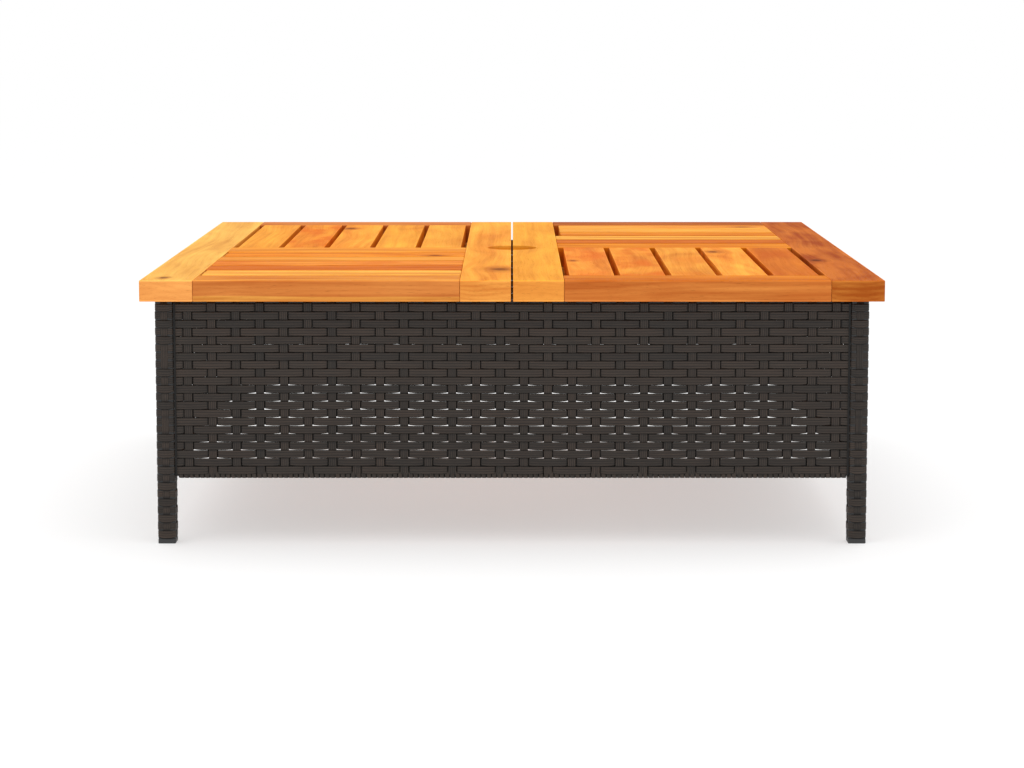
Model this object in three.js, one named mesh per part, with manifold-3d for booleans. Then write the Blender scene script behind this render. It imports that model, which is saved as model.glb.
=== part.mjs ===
// Garden coffee table: a slatted acacia top in two halves round a parasol hole, on a woven base.
// Millimetres, +Z up, front towards -Y, origin on the floor under the middle of the top.
import * as THREE from "three";
import { mergeVertices } from "three/addons/utils/BufferGeometryUtils.js";
import Module from "manifold-3d";

const wasm = await Module();
wasm.setup();

// Overall sizes
const topWidth = 1050; // along X, over both halves
const topDepth = 1050; // along Y
const tableHeight = 380;

// Wooden top
const boardThickness = 30;
const outerRailWidth = 75;
const centreRailWidth = 72;
const endBoardWidth = 73; // front and back boards
const middleBoardWidth = 75.5; // board that ends on the middle line of the table
const boardChamfer = 1.2;
const splitGap = 3; // between the two halves
const poleHoleDiameter = 78;
const slatCount = 5; // in each direction of each half
const slatGap = 9; // beside every slat
const battenWidth = 40;
const battenThickness = 15;
const battenClearance = 3; // to the frame at each end, so that a half lifts off freely

// Steel frame
const legTubeSize = 25;
const railTubeSize = 20;
const tubeWall = 1.5;
const legInset = 18; // from the edge of the top to the outside of the wrapped leg
const poleBarClearance = 11; // between the parasol hole and the centre bar on each side of it
const footHeight = 7;
const footPlugDepth = 18;

// Woven covering
const wrapWallOutside = 1; // on the two faces of a leg that look outwards
const wrapWallInside = 2.1; // doubled strands on the two faces that look inwards
const weaveDrop = 5.5; // from the underside of the boards to the top edge of the weave
const rowPitch = 11.66;
const rowCount = 21;
const rowGroove = 0.5; // depth of the groove between two rows
const rowGrooveWidth = 2.2;
const borderHeight = 5.2; // wound border under the lowest row
const panelThickness = 3.4;
const panelRecess = 0.1; // behind the outside of the wrapped legs

const touchGap = 0.3; // left between pieces that touch

// Places that follow from the sizes
const topUnderside = tableHeight - boardThickness;
const frameTop = topUnderside - touchGap;
const weaveTop = topUnderside - weaveDrop;
const centreBarOffset = poleHoleDiameter / 2 + poleBarClearance + railTubeSize / 2;
const wrapOutside = { x: topWidth / 2 - legInset, y: topDepth / 2 - legInset };
const legShift = wrapWallOutside + touchGap + legTubeSize / 2;
const legCentre = { x: wrapOutside.x - legShift, y: wrapOutside.y - legShift };
const wrapDepth = wrapWallOutside + wrapWallInside + 2 * touchGap + legTubeSize;
const wrapInside = { x: wrapOutside.x - wrapDepth, y: wrapOutside.y - wrapDepth };
const panelBack = panelRecess + panelThickness; // behind the outside of the wrapped legs
const railShift = panelBack + touchGap + railTubeSize / 2;
const railLine = { x: wrapOutside.x - railShift, y: wrapOutside.y - railShift };
const topRailZ = frameTop - railTubeSize / 2;
const panelBottom = weaveTop - rowCount * rowPitch - borderHeight;
const bottomRailZ = panelBottom + borderHeight / 2 + railTubeSize / 2;
const sides = { left: -1, right: 1, front: -1, back: 1 };

const finishes = {
  woodPale: { color: "#f6ab58", roughness: 0.5, metalness: 0 },
  woodAmber: { color: "#e39a4b", roughness: 0.5, metalness: 0 },
  woodRusset: { color: "#c77838", roughness: 0.5, metalness: 0 },
  rattan: { color: "#3d3a36", roughness: 0.55, metalness: 0 },
  steel: { color: "#1b1b1c", roughness: 0.45, metalness: 0.3 },
  plastic: { color: "#29292a", roughness: 0.5, metalness: 0 },
};

function piece(name, geometry, finish) {
  const mesh = new THREE.Mesh(geometry, new THREE.MeshStandardMaterial(finishes[finish]));
  mesh.name = name;
  return mesh;
}

// Manifold solid of a closed geometry, and the geometry of a manifold solid.
function toSolid(geometry) {
  const bare = geometry.clone().deleteAttribute("normal").deleteAttribute("uv");
  const merged = mergeVertices(bare, 1e-3);
  const vertProperties = merged.attributes.position.array;
  const triVerts = new Uint32Array(merged.index.array);
  return new wasm.Manifold(new wasm.Mesh({ numProp: 3, vertProperties, triVerts }));
}

function toGeometry(solid) {
  const { vertProperties, triVerts } = solid.getMesh();
  const geometry = new THREE.BufferGeometry();
  geometry.setAttribute("position", new THREE.BufferAttribute(vertProperties, 3));
  geometry.setIndex(new THREE.BufferAttribute(triVerts, 1));
  geometry.computeVertexNormals();
  return geometry;
}

function rectangle(x0, x1, y0, y1) {
  const shape = new THREE.Shape();
  shape.moveTo(x0, y0).lineTo(x1, y0).lineTo(x1, y1).lineTo(x0, y1).closePath();
  return shape;
}

function block(x0, x1, y0, y1, z0, z1) {
  const geometry = new THREE.BoxGeometry(x1 - x0, y1 - y0, z1 - z0);
  return geometry.translate((x0 + x1) / 2, (y0 + y1) / 2, (z0 + z1) / 2);
}

// A flat board of any outline at the height of the top, with its edges broken by a chamfer.
function board(outline) {
  const geometry = new THREE.ExtrudeGeometry(outline, {
    depth: boardThickness - 2 * boardChamfer,
    bevelThickness: boardChamfer,
    bevelSize: boardChamfer,
    bevelOffset: -boardChamfer,
    bevelSegments: 1,
    curveSegments: 24,
  });
  return geometry.translate(0, 0, topUnderside + boardChamfer);
}

// Square steel tube of the given outside size and length, along Z and centred, open at both ends.
function squareTube(size, length) {
  const outside = size / 2;
  const inside = outside - tubeWall;
  const section = rectangle(-outside, outside, -outside, outside);
  section.holes.push(rectangle(-inside, inside, -inside, inside));
  const geometry = new THREE.ExtrudeGeometry(section, { depth: length, bevelEnabled: false });
  return geometry.translate(0, 0, -length / 2);
}

function tubeAlongX(name, size, x0, x1, y, z) {
  const mesh = piece(name, squareTube(size, x1 - x0), "steel");
  mesh.rotation.y = Math.PI / 2;
  mesh.position.set((x0 + x1) / 2, y, z);
  return mesh;
}

function tubeAlongY(name, size, y0, y1, x, z) {
  const mesh = piece(name, squareTube(size, y1 - y0), "steel");
  mesh.rotation.x = Math.PI / 2;
  mesh.position.set(x, (y0 + y1) / 2, z);
  return mesh;
}

// Centre rail: a straight board with half of the parasol hole cut in the edge that faces the split.
function centreRailOutline() {
  const radius = poleHoleDiameter / 2;
  const inner = -splitGap / 2;
  const outer = inner - centreRailWidth;
  const end = topDepth / 2;
  const halfAngle = Math.acos(splitGap / 2 / radius);
  const outline = new THREE.Shape();
  outline.moveTo(outer, -end).lineTo(inner, -end);
  outline.absarc(0, 0, radius, Math.PI + halfAngle, Math.PI - halfAngle, true);
  outline.lineTo(inner, end).lineTo(outer, end).closePath();
  return outline;
}

// One half of the top, drawn as the left half with its long slats in front.
// The right half is the same half turned round, so its long slats lie at the back.
function topHalf(side, tones, longEnd, shortEnd, slatsCutShort, endBattenAt) {
  const half = new THREE.Group();
  const regionInner = -splitGap / 2 - centreRailWidth;
  const regionOuter = -topWidth / 2 + outerRailWidth;
  const edge = topDepth / 2;
  const addBoard = (name, x0, x1, y0, y1) =>
    half.add(piece(`${side}_${name}`, board(rectangle(x0, x1, y0, y1)), tones[name] ?? tones.slat));

  half.add(piece(`${side}_centre_rail`, board(centreRailOutline()), tones.centre_rail));
  addBoard("outer_rail", -topWidth / 2, regionOuter, -edge, edge);
  const [x0, x1] = [regionOuter + touchGap, regionInner - touchGap];
  addBoard(`${longEnd}_board`, x0, x1, -edge, -edge + endBoardWidth);
  addBoard(`${shortEnd}_board`, x0, x1, edge - endBoardWidth, edge);
  addBoard("middle_board", x0, x1, -middleBoardWidth, 0);

  const longStart = -edge + endBoardWidth;
  const longPitch = (-middleBoardWidth - longStart - slatGap) / slatCount;
  const shortPitch = (regionInner - regionOuter - slatGap) / slatCount;
  for (let i = 0; i < slatCount; i++) {
    const y = longStart + slatGap + i * longPitch;
    const outerEnd = x0 + (slatsCutShort.outer[i + 1] ?? 0);
    const innerEnd = x1 - (slatsCutShort.inner[i + 1] ?? 0);
    addBoard(`long_slat_${i + 1}`, outerEnd, innerEnd, y, y + longPitch - slatGap);
    const x = regionOuter + slatGap + i * shortPitch;
    const shortTop = edge - endBoardWidth - touchGap;
    addBoard(`short_slat_${i + 1}`, x, x + shortPitch - slatGap, touchGap, shortTop);
  }

  // Two battens tie the short slats from below and keep the half in place between frame bars.
  const battenOuter = -railLine.x + railTubeSize / 2 + battenClearance;
  const battenInner = -centreBarOffset - railTubeSize / 2 - battenClearance;
  const shortLength = edge - endBoardWidth;
  const battenMiddles = {
    middle: shortLength / 2,
    end: endBattenAt === "middle board" ? battenWidth / 2 : shortLength - battenWidth / 2,
  };
  for (const [place, y] of Object.entries(battenMiddles)) {
    const [y0, y1] = [y - battenWidth / 2, y + battenWidth / 2];
    const batten = block(battenOuter, battenInner, y0, y1, frameTop - battenThickness, frameTop);
    half.add(piece(`${side}_batten_${place}`, batten, "woodAmber"));
  }
  return half;
}

// Plastic foot: a square pad as wide as the leg, with a plug that sits inside the tube.
function footGeometry() {
  const pad = legTubeSize / 2;
  const plug = pad - tubeWall - touchGap;
  const below = toSolid(block(-pad, pad, -pad, pad, 0, footHeight));
  const above = toSolid(block(-plug, plug, -plug, plug, footHeight / 2, footHeight + footPlugDepth));
  return toGeometry(below.add(above));
}

// Woven sleeve round one leg, with room for the rails that are welded to the tube.
function wrapGeometry(sx, sy) {
  const bore = legTubeSize / 2 + touchGap;
  const room = railTubeSize / 2 + touchGap;
  const z0 = footHeight + touchGap;
  const span = (sign, inside, outside) => [sign * inside, sign * outside].sort((a, b) => a - b);
  const [x0, x1] = span(sx, wrapInside.x, wrapOutside.x);
  const [y0, y1] = span(sy, wrapInside.y, wrapOutside.y);
  const outline = rectangle(x0, x1, y0, y1);
  const [cx, cy] = [sx * legCentre.x, sy * legCentre.y];
  outline.holes.push(rectangle(cx - bore, cx + bore, cy - bore, cy + bore));
  const sleeve = new THREE.ExtrudeGeometry(outline, { depth: weaveTop - z0, bevelEnabled: false });
  let solid = toSolid(sleeve.translate(0, 0, z0));
  for (const z of [topRailZ, bottomRailZ]) {
    const [rx, ry] = [sx * railLine.x, sy * railLine.y];
    const [fx0, fx1] = span(sx, wrapInside.x - 1, legCentre.x);
    const [fy0, fy1] = span(sy, wrapInside.y - 1, legCentre.y);
    solid = solid.subtract(toSolid(block(fx0, fx1, ry - room, ry + room, z - room, z + room)));
    solid = solid.subtract(toSolid(block(rx - room, rx + room, fy0, fy1, z - room, z + room)));
  }
  return toGeometry(solid);
}

// Woven panel as a slab of the full width, with a groove between every two rows of weave.
// Its section is drawn with outwards along -Y and carried along X.
function panelGeometry(width) {
  const section = new THREE.Shape();
  const lip = rowGrooveWidth / 2;
  section.moveTo(0, weaveTop).lineTo(-panelThickness, weaveTop);
  for (let row = 1; row <= rowCount; row++) {
    const z = weaveTop - row * rowPitch;
    section.lineTo(-panelThickness, z + lip).lineTo(rowGroove - panelThickness, z);
    section.lineTo(-panelThickness, z - lip);
  }
  section.lineTo(-panelThickness, panelBottom).lineTo(0, panelBottom).closePath();
  const geometry = new THREE.ExtrudeGeometry(section, { depth: width, bevelEnabled: false });
  geometry.translate(0, 0, -width / 2);
  return geometry.applyMatrix4(new THREE.Matrix4().set(0, 0, 1, 0, 1, 0, 0, 0, 0, 1, 0, 0, 0, 0, 0, 1));
}

function addPanels(base) {
  const turns = { front: 0, right: 1, back: 2, left: 3 };
  for (const [side, turn] of Object.entries(turns)) {
    const facesY = turn % 2 === 0;
    const width = 2 * ((facesY ? wrapInside.x : wrapInside.y) - touchGap);
    const panel = piece(`wicker_panel_${side}`, panelGeometry(width), "rattan");
    const backFace = (facesY ? wrapOutside.y : wrapOutside.x) - panelBack;
    panel.rotation.z = (turn * Math.PI) / 2;
    panel.position.set(0, -backFace, 0).applyAxisAngle(new THREE.Vector3(0, 0, 1), panel.rotation.z);
    base.add(panel);
  }
}

function addLegs(base) {
  for (const back of ["front", "back"]) {
    for (const side of ["left", "right"]) {
      const [sx, sy] = [sides[side], sides[back]];
      const corner = `${back}_${side}`;
      const tubeLength = frameTop - footHeight - touchGap;
      const tube = piece(`leg_tube_${corner}`, squareTube(legTubeSize, tubeLength), "steel");
      tube.position.set(sx * legCentre.x, sy * legCentre.y, frameTop - tubeLength / 2);
      const foot = piece(`foot_${corner}`, footGeometry(), "plastic");
      foot.position.set(sx * legCentre.x, sy * legCentre.y, 0);
      base.add(tube, foot, piece(`leg_wrap_${corner}`, wrapGeometry(sx, sy), "rattan"));
    }
  }
}

// The rails run from leg to leg, and a side rail stops at the front and back rails if they come first.
function addRails(base) {
  const endX = legCentre.x - legTubeSize / 2 - touchGap;
  const endY = Math.min(legCentre.y - legTubeSize / 2, railLine.y - railTubeSize / 2) - touchGap;
  for (const [level, z] of [["top", topRailZ], ["bottom", bottomRailZ]]) {
    for (const side of ["front", "back"]) {
      const y = sides[side] * railLine.y;
      base.add(tubeAlongX(`${level}_rail_${side}`, railTubeSize, -endX, endX, y, z));
    }
    for (const side of ["left", "right"]) {
      const x = sides[side] * railLine.x;
      base.add(tubeAlongY(`${level}_rail_${side}`, railTubeSize, -endY, endY, x, z));
    }
  }
}

// Two bars run from front to back under the centre rails, one on each side of the parasol hole.
function addBars(base) {
  const endY = railLine.y - railTubeSize / 2 - touchGap;
  for (const side of ["left", "right"]) {
    const x = sides[side] * centreBarOffset;
    base.add(tubeAlongY(`centre_bar_${side}`, railTubeSize, -endY, endY, x, topRailZ));
  }
}

const table = new THREE.Group();
const base = new THREE.Group();
addLegs(base);
addRails(base);
addBars(base);
addPanels(base);
table.add(base);

const leftTones = {
  centre_rail: "woodPale",
  outer_rail: "woodPale",
  front_board: "woodRusset",
  back_board: "woodAmber",
  middle_board: "woodPale",
  slat: "woodAmber",
};
const rightTones = {
  centre_rail: "woodPale",
  outer_rail: "woodRusset",
  front_board: "woodRusset",
  back_board: "woodRusset",
  middle_board: "woodRusset",
  slat: "woodAmber",
};
// Some long slats stop a little short of a rail: slat number, and how much is missing there.
const leftSlatEnds = { outer: { 1: 3, 5: 3 }, inner: {} };
const rightSlatEnds = { outer: {}, inner: { 1: 9, 2: 9, 3: 9 } };

const leftHalf = topHalf("left", leftTones, "front", "back", leftSlatEnds, "end board");
const rightHalf = topHalf("right", rightTones, "back", "front", rightSlatEnds, "middle board");
rightHalf.rotation.z = Math.PI;
table.add(leftHalf, rightHalf);

export default table;
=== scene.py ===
import math
import bpy
import numpy as np
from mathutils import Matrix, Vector


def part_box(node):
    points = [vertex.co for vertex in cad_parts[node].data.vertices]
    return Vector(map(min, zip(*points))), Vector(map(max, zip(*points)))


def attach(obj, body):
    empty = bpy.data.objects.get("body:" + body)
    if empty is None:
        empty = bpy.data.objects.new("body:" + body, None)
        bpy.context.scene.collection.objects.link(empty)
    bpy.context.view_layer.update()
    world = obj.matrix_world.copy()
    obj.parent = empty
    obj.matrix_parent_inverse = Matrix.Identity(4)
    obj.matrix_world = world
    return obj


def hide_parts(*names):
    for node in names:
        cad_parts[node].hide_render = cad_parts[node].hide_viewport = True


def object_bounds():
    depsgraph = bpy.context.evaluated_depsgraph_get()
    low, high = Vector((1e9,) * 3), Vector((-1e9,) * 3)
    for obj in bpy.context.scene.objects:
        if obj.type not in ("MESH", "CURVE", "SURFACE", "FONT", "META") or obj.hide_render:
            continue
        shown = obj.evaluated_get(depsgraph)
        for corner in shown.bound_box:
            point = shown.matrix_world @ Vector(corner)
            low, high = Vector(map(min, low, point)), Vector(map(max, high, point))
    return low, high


# Slatted garden coffee table over a woven base. Metres, +Z up, front towards -Y.
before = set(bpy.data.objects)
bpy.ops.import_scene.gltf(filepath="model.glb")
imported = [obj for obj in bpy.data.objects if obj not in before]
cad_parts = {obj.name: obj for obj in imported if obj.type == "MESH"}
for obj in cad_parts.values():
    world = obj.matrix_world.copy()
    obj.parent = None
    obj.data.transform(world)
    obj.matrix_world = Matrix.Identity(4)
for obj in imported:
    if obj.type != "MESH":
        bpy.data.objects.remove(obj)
cadBox = [list(corner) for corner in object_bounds()]
cadLow, cadHigh = (Vector(corner) for corner in cadBox)
scene = bpy.context.scene
scene.view_settings.view_transform = "Standard"
random = np.random.default_rng(41)
print("frame loaded:", len(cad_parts), "nodes")

cameraView = {
    "distance": 3.595,  # from the front edge of the top
    "height": 0.7456,
    "tilt": 6.287,  # degrees below level
    "lens": 90.33,
    "shift": -0.08,
}


def makeCamera(view):
    data = bpy.data.cameras.new("camera")
    data.lens = view["lens"]
    data.shift_y = view["shift"]
    camera = bpy.data.objects.new("camera", data)
    camera.location = (0, cadLow.y - view["distance"], view["height"])
    camera.rotation_euler = (math.radians(90 - view["tilt"]), 0, 0)
    scene.collection.objects.link(camera)
    scene.camera = camera


studio = {
    "sky": 1.0,
    "keyPlace": (-2.4, -3.2, 3.4),
    "keySize": 2.2,
    "keyPower": 14,
    "topPlace": (0.3, 0.2, 3.2),
    "topSize": 3.0,
    "topPower": 30,
    "floorSize": 60,
    "floorTone": 0.5,
    "floorGlow": 0.5,  # keeps the shadow under the table soft
}


def addAreaLight(name, place, size, power):
    data = bpy.data.lights.new(name, "AREA")
    data.shape, data.size, data.energy = "DISK", size, power
    light = bpy.data.objects.new(name, data)
    light.location = place
    aim = Vector((0, 0, cadHigh.z / 2)) - light.location
    light.rotation_euler = aim.to_track_quat("-Z", "Y").to_euler()
    scene.collection.objects.link(light)


def makeStudio(look):
    world = bpy.data.worlds.new("studio")
    world.use_nodes = True
    world.node_tree.nodes["Background"].inputs["Color"].default_value = (1, 1, 1, 1)
    world.node_tree.nodes["Background"].inputs["Strength"].default_value = look["sky"]
    scene.world = world
    addAreaLight("keyLight", look["keyPlace"], look["keySize"], look["keyPower"])
    addAreaLight("topLight", look["topPlace"], look["topSize"], look["topPower"])


def makeFloor(look):
    half = look["floorSize"] / 2
    mesh = bpy.data.meshes.new("floor")
    corners = [(-half, -half, 0), (half, -half, 0), (half, half, 0), (-half, half, 0)]
    mesh.from_pydata(corners, [], [(0, 1, 2, 3)])
    floor = bpy.data.objects.new("floor", mesh)
    floor.location.z = -0.0002  # just under the soles
    scene.collection.objects.link(floor)
    paint = bpy.data.materials.new("paleFloor")
    paint.use_nodes = True
    shader = paint.node_tree.nodes["Principled BSDF"]
    shader.inputs["Base Color"].default_value = (*[look["floorTone"]] * 3, 1)
    shader.inputs["Roughness"].default_value = 0.9
    shader.inputs["Specular IOR Level"].default_value = 0.0
    shader.inputs["Emission Color"].default_value = (1, 1, 1, 1)
    shader.inputs["Emission Strength"].default_value = look["floorGlow"]
    mesh.materials.append(paint)


makeCamera(cameraView)
makeStudio(studio)
makeFloor(studio)
print("camera and studio ready")


def linear(hexColor):
    # the linear colour, with alpha, of a display colour written as six hex digits
    channels = [int(hexColor[i : i + 2], 16) / 255 for i in (0, 2, 4)]
    return [c / 12.92 if c <= 0.04045 else ((c + 0.055) / 1.055) ** 2.4 for c in channels] + [1]


class Nodes:
    # a short way to add nodes: each call sets the named sockets from values or from other sockets
    def __init__(self, tree):
        self.tree = tree

    def add(self, kind, sockets=None, **settings):
        node = self.tree.nodes.new(kind)
        for key, value in settings.items():
            setattr(node, key, value)
        for key, value in (sockets or {}).items():
            if isinstance(value, bpy.types.NodeSocket):
                self.tree.links.new(value, node.inputs[key])
            else:
                node.inputs[key].default_value = value
        return node

    def math(self, operation, a, b=0.0, clamp=False):
        node = self.add("ShaderNodeMath", {0: a, 1: b}, operation=operation, use_clamp=clamp)
        return node.outputs[0]

    def vector(self, operation, a, b=(0, 0, 0)):
        node = self.add("ShaderNodeVectorMath", {0: a, 1: b}, operation=operation)
        return node.outputs["Value" if operation in ("LENGTH", "DOT_PRODUCT") else "Vector"]

    def separate(self, vector):
        return self.add("ShaderNodeSeparateXYZ", {0: vector}).outputs

    def combine(self, x=0.0, y=0.0, z=0.0):
        return self.add("ShaderNodeCombineXYZ", {0: x, 1: y, 2: z}).outputs[0]

    def noise(self, vector, scale, detail=2.0, seed=0.0):
        # three scales, one for each axis, go on the vector, and a single one on the noise
        if isinstance(scale, tuple):
            vector, scale = self.vector("MULTIPLY", vector, scale), 1.0
        sockets = {"Vector": vector, "Scale": scale, "Detail": detail, "W": seed}
        return self.add("ShaderNodeTexNoise", sockets, noise_dimensions="4D").outputs["Fac"]

    def remap(self, value, low, high, newLow=0.0, newHigh=1.0, smooth=False):
        sockets = {"Value": value, "From Min": low, "From Max": high, "To Min": newLow, "To Max": newHigh}
        kind = "SMOOTHSTEP" if smooth else "LINEAR"
        return self.add("ShaderNodeMapRange", sockets, interpolation_type=kind).outputs["Result"]

    def mix(self, factor, a, b, blend="MIX"):
        node = self.add("ShaderNodeMix", data_type="RGBA", blend_type=blend)
        for socket, value in (("Factor_Float", factor), ("A_Color", a), ("B_Color", b)):
            target = next(s for s in node.inputs if s.identifier == socket)
            if isinstance(value, bpy.types.NodeSocket):
                self.tree.links.new(value, target)
            else:
                target.default_value = value
        return next(s for s in node.outputs if s.identifier == "Result_Color")

    def tinted(self, color, factors):
        return self.mix(1.0, color, factors, "MULTIPLY")


def newGroup(name, inputs, outputs):
    # a node group with named sockets: gives the tree, its Nodes helper, its input and its output sockets
    tree = bpy.data.node_groups.new(name, "ShaderNodeTree")
    for label, (kind, value) in inputs.items():
        socket = tree.interface.new_socket(label, in_out="INPUT", socket_type=kind)
        socket.default_value = value
    for label, kind in outputs.items():
        tree.interface.new_socket(label, in_out="OUTPUT", socket_type=kind)
    nodes = Nodes(tree)
    return tree, nodes, nodes.add("NodeGroupInput").outputs, nodes.add("NodeGroupOutput").inputs


def link(nodes, value, socket):
    nodes.tree.links.new(value, socket)


def newMaterial(name):
    material = bpy.data.materials.new(name)
    material.use_nodes = True
    nodes = Nodes(material.node_tree)
    return material, nodes, material.node_tree.nodes["Principled BSDF"]


def addRelief(nodes, height, shader, strength, distance):
    bump = nodes.add("ShaderNodeBump", {"Height": height, "Strength": strength, "Distance": distance})
    link(nodes, bump.outputs["Normal"], shader.inputs["Normal"])


def knotShape(n, given):
    # Distance from the middle of the knot, in knot sizes and with a ragged rim. Also how far across the
    # grain is pulled there: the way across, times e to the power of -0.16 times that distance squared.
    toKnot = n.vector("MULTIPLY", n.vector("SUBTRACT", given["Grain"], given["Knot"]), (0.62, 1, 0.3))
    ragged = n.noise(given["Grain"], (45, 90, 90), 2.0, given["Seed"])
    distance = n.math("DIVIDE", n.vector("LENGTH", toKnot), given["Knot Size"])
    distance = n.math("ADD", distance, n.math("MULTIPLY", n.math("SUBTRACT", ragged, 0.5), 1.1))
    pull = n.math("EXPONENT", n.math("MULTIPLY", n.math("MULTIPLY", distance, distance), -0.16))
    return distance, n.math("MULTIPLY", n.separate(toKnot)[1], pull)


def bentGrain(n, given, knotPull):
    # the grain wanders slowly and opens round the knot, and a sawn end shows it as nearly level lines
    sway = n.noise(given["Grain"], (2.6, 7, 7), 1.0, given["Seed"])
    sway = n.math("MULTIPLY", n.math("SUBTRACT", sway, 0.5), 0.05)
    bend = n.math("ADD", sway, n.math("MULTIPLY", knotPull, -0.75))
    grain = n.vector("ADD", given["Grain"], n.combine(y=bend))
    beyond = n.math("SUBTRACT", n.math("ABSOLUTE", n.separate(grain)[0]), given["Half Length"])
    onEnd = n.math("GREATER_THAN", beyond, -0.0004)
    shrink = n.math("SUBTRACT", 1.0, n.math("MULTIPLY", onEnd, 0.86))
    return n.vector("MULTIPLY", grain, n.combine(1.0, shrink, 1.0))


def growthRings(n, given, grain):
    # the sine of 900 times the distance from a pith line about 0.14 m under the board, bent by noise
    _, across, through = n.separate(grain)
    bow = n.noise(given["Grain"], (1.9, 9, 9), 1.0, given["Seed"])
    depth = n.math("ADD", n.math("ADD", through, 0.14), n.math("MULTIPLY", bow, 0.06))
    square = n.math("ADD", n.math("MULTIPLY", across, across), n.math("MULTIPLY", depth, depth))
    wave = n.math("SINE", n.math("MULTIPLY", n.math("SQRT", square), 900.0))
    return n.math("SUBTRACT", n.math("POWER", n.remap(wave, -1, 1), 1.8), 0.4)


def makeWoodGroup():
    # Sawn wood as a solid figure, so that faces, edges and ends all agree. Coordinates are metres along the
    # grain, across the board and through it. Streaks are noise that is stretched along the grain.
    tree, n, given, out = newGroup(
        "woodFigure",
        {
            "Grain": ("NodeSocketVector", (0, 0, 0)),
            "Tone": ("NodeSocketColor", (0.6, 0.3, 0.08, 1)),
            "Seed": ("NodeSocketFloat", 0.0),
            "Streaks": ("NodeSocketFloat", 0.5),
            "Rings": ("NodeSocketFloat", 0.3),
            "Clouds": ("NodeSocketFloat", 0.3),
            "Blush": ("NodeSocketFloat", 0.2),
            "Knot": ("NodeSocketVector", (9, 0, 0)),
            "Knot Size": ("NodeSocketFloat", 0.012),
            "Half Length": ("NodeSocketFloat", 0.5),
        },
        {"Color": "NodeSocketColor", "Roughness": "NodeSocketFloat", "Height": "NodeSocketFloat"},
    )
    seed, tone = given["Seed"], given["Tone"]
    knotDistance, knotPull = knotShape(n, given)
    grain = bentGrain(n, given, knotPull)
    ring = growthRings(n, given, grain)
    broad = n.remap(n.noise(grain, (0.9, 48, 48), 2.0, seed), 0.32, 0.68, -1, 1)
    streak = n.remap(n.noise(grain, (2.4, 190, 190), 3.0, seed), 0.32, 0.68, -1, 1)
    fibre = n.noise(grain, (14, 850, 850), 2.0, seed)
    cloud = n.remap(n.noise(grain, (5, 21, 21), 2.0, seed), 0.34, 0.66, -1, 1)
    # darkness from 0, palest, to 1
    dark = n.math("ADD", n.math("MULTIPLY", broad, 0.34), n.math("MULTIPLY", streak, 0.2))
    dark = n.math("MULTIPLY", dark, given["Streaks"])
    dark = n.math("ADD", dark, n.math("MULTIPLY", ring, given["Rings"]))
    dark = n.math("ADD", dark, n.math("MULTIPLY", cloud, n.math("MULTIPLY", given["Clouds"], 0.4)))
    dark = n.math("ADD", dark, n.math("MULTIPLY", n.math("SUBTRACT", fibre, 0.5), 0.35))
    dark = n.math("ADD", dark, 0.45, clamp=True)
    pale = n.tinted(tone, (1.22, 1.4, 1.5, 1))
    color = n.mix(dark, pale, n.tinted(tone, (0.7, 0.5, 0.42, 1)))
    blushNoise = n.noise(grain, (9, 24, 24), 2.0, n.math("ADD", seed, 5.0))
    blush = n.math("MULTIPLY", n.remap(blushNoise, 0.4, 0.68, smooth=True), given["Blush"])
    color = n.mix(blush, color, n.tinted(tone, (0.88, 0.56, 0.42, 1)))
    # short pores
    pore = n.remap(n.noise(grain, (60, 1500, 1500), 1.0, seed), 0.62, 0.74, smooth=True)
    eyeColor = n.tinted(tone, (0.2, 0.14, 0.16, 1))
    color = n.mix(n.math("MULTIPLY", pore, 0.3), color, eyeColor)
    # the knot: a dark eye in a soft brown halo
    halo = n.math("MULTIPLY", n.remap(knotDistance, 0.6, 2.8, 1.0, 0.0, smooth=True), 0.7)
    color = n.mix(halo, color, n.tinted(tone, (0.5, 0.34, 0.34, 1)))
    eye = n.math("MULTIPLY", n.remap(knotDistance, 0.3, 1.1, 1.0, 0.0, smooth=True), 0.8)
    color = n.mix(eye, color, eyeColor)
    link(n, color, out["Color"])
    gloss = n.math("ADD", n.math("MULTIPLY", fibre, 0.2), n.math("MULTIPLY", pore, 0.2))
    link(n, n.math("ADD", gloss, 0.48), out["Roughness"])
    height = n.math("SUBTRACT", n.math("MULTIPLY", fibre, 0.5), n.math("MULTIPLY", pore, 0.8))
    link(n, n.math("SUBTRACT", height, n.math("MULTIPLY", ring, 0.2)), out["Height"])
    return tree


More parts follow.
